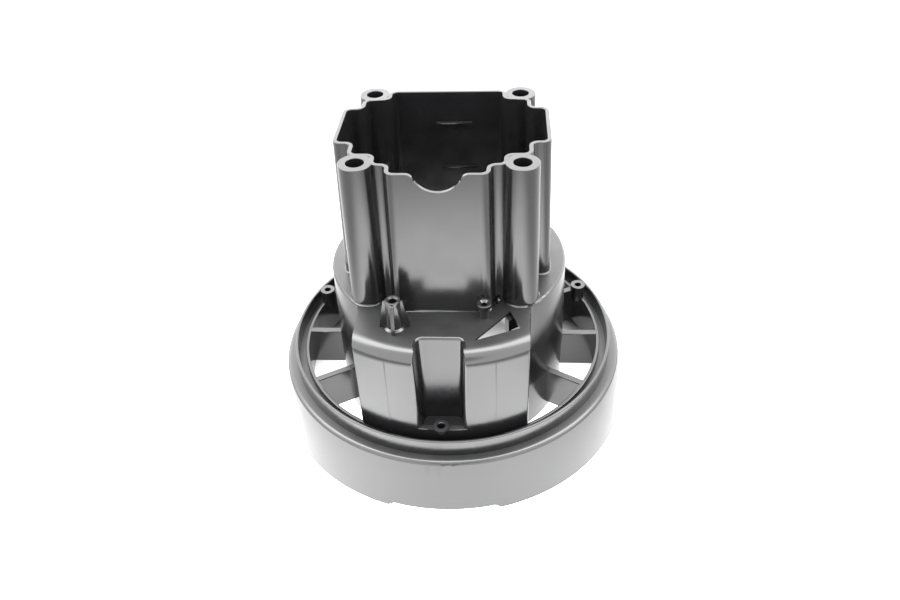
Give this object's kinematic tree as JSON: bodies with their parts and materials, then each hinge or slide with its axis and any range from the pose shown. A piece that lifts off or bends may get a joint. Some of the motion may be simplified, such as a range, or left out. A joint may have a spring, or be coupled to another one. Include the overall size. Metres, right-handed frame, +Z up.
{
  "type": "motor housing",
  "caption": "Moulded black motor housing: flared round foot, spoked vent ring, hollow drum with a front box, and an open stepped tube with corner screw bosses.",
  "frame": {"origin": "on the drum's axis, at the foot that the housing stands on", "axes": "+Z up along the motor tube, -Y towards the front with the box and the channel, +X to the right"},
  "size_m": [0.168, 0.1677, 0.141],
  "materials": {
    "housing_plastic": "black glass-filled nylon as moulded, semi-gloss"
  },
  "bodies": {
    "root": {"motor_housing": "housing_plastic"}
  },
  "joints": []
}
